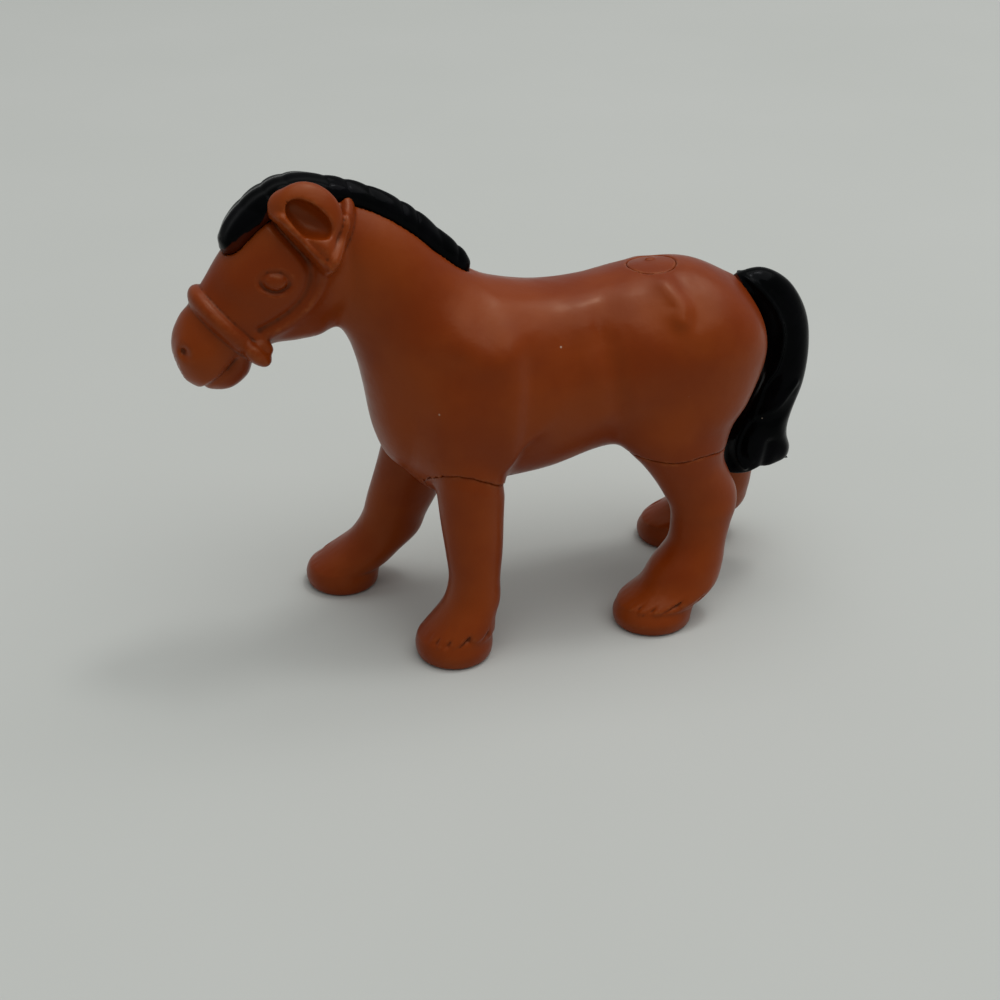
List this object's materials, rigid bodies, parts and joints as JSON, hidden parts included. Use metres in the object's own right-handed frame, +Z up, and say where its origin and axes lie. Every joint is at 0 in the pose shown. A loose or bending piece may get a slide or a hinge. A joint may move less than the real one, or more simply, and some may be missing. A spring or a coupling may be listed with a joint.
{
  "type": "toy horse figure",
  "caption": "Small moulded toy horse standing in mid stride, with moulded bridle, black mane and tail, and glued-in legs.",
  "frame": {"origin": "under the middle of the figure, on the plane its soles stand on", "axes": "-X toward the nose, -Y toward the horse's own left side, +Z up"},
  "size_m": [0.0616, 0.0236, 0.0454],
  "materials": {
    "brown_pvc": "satin, moulded soft PVC",
    "black_paint": "gloss black paint over the moulding"
  },
  "bodies": {
    "root": {"body": "brown_pvc", "near_foreleg": "brown_pvc", "far_foreleg": "brown_pvc", "near_hind_leg": "brown_pvc", "far_hind_leg": "brown_pvc", "rump_plug": "brown_pvc", "mane": "black_paint", "tail": "black_paint"}
  },
  "joints": []
}
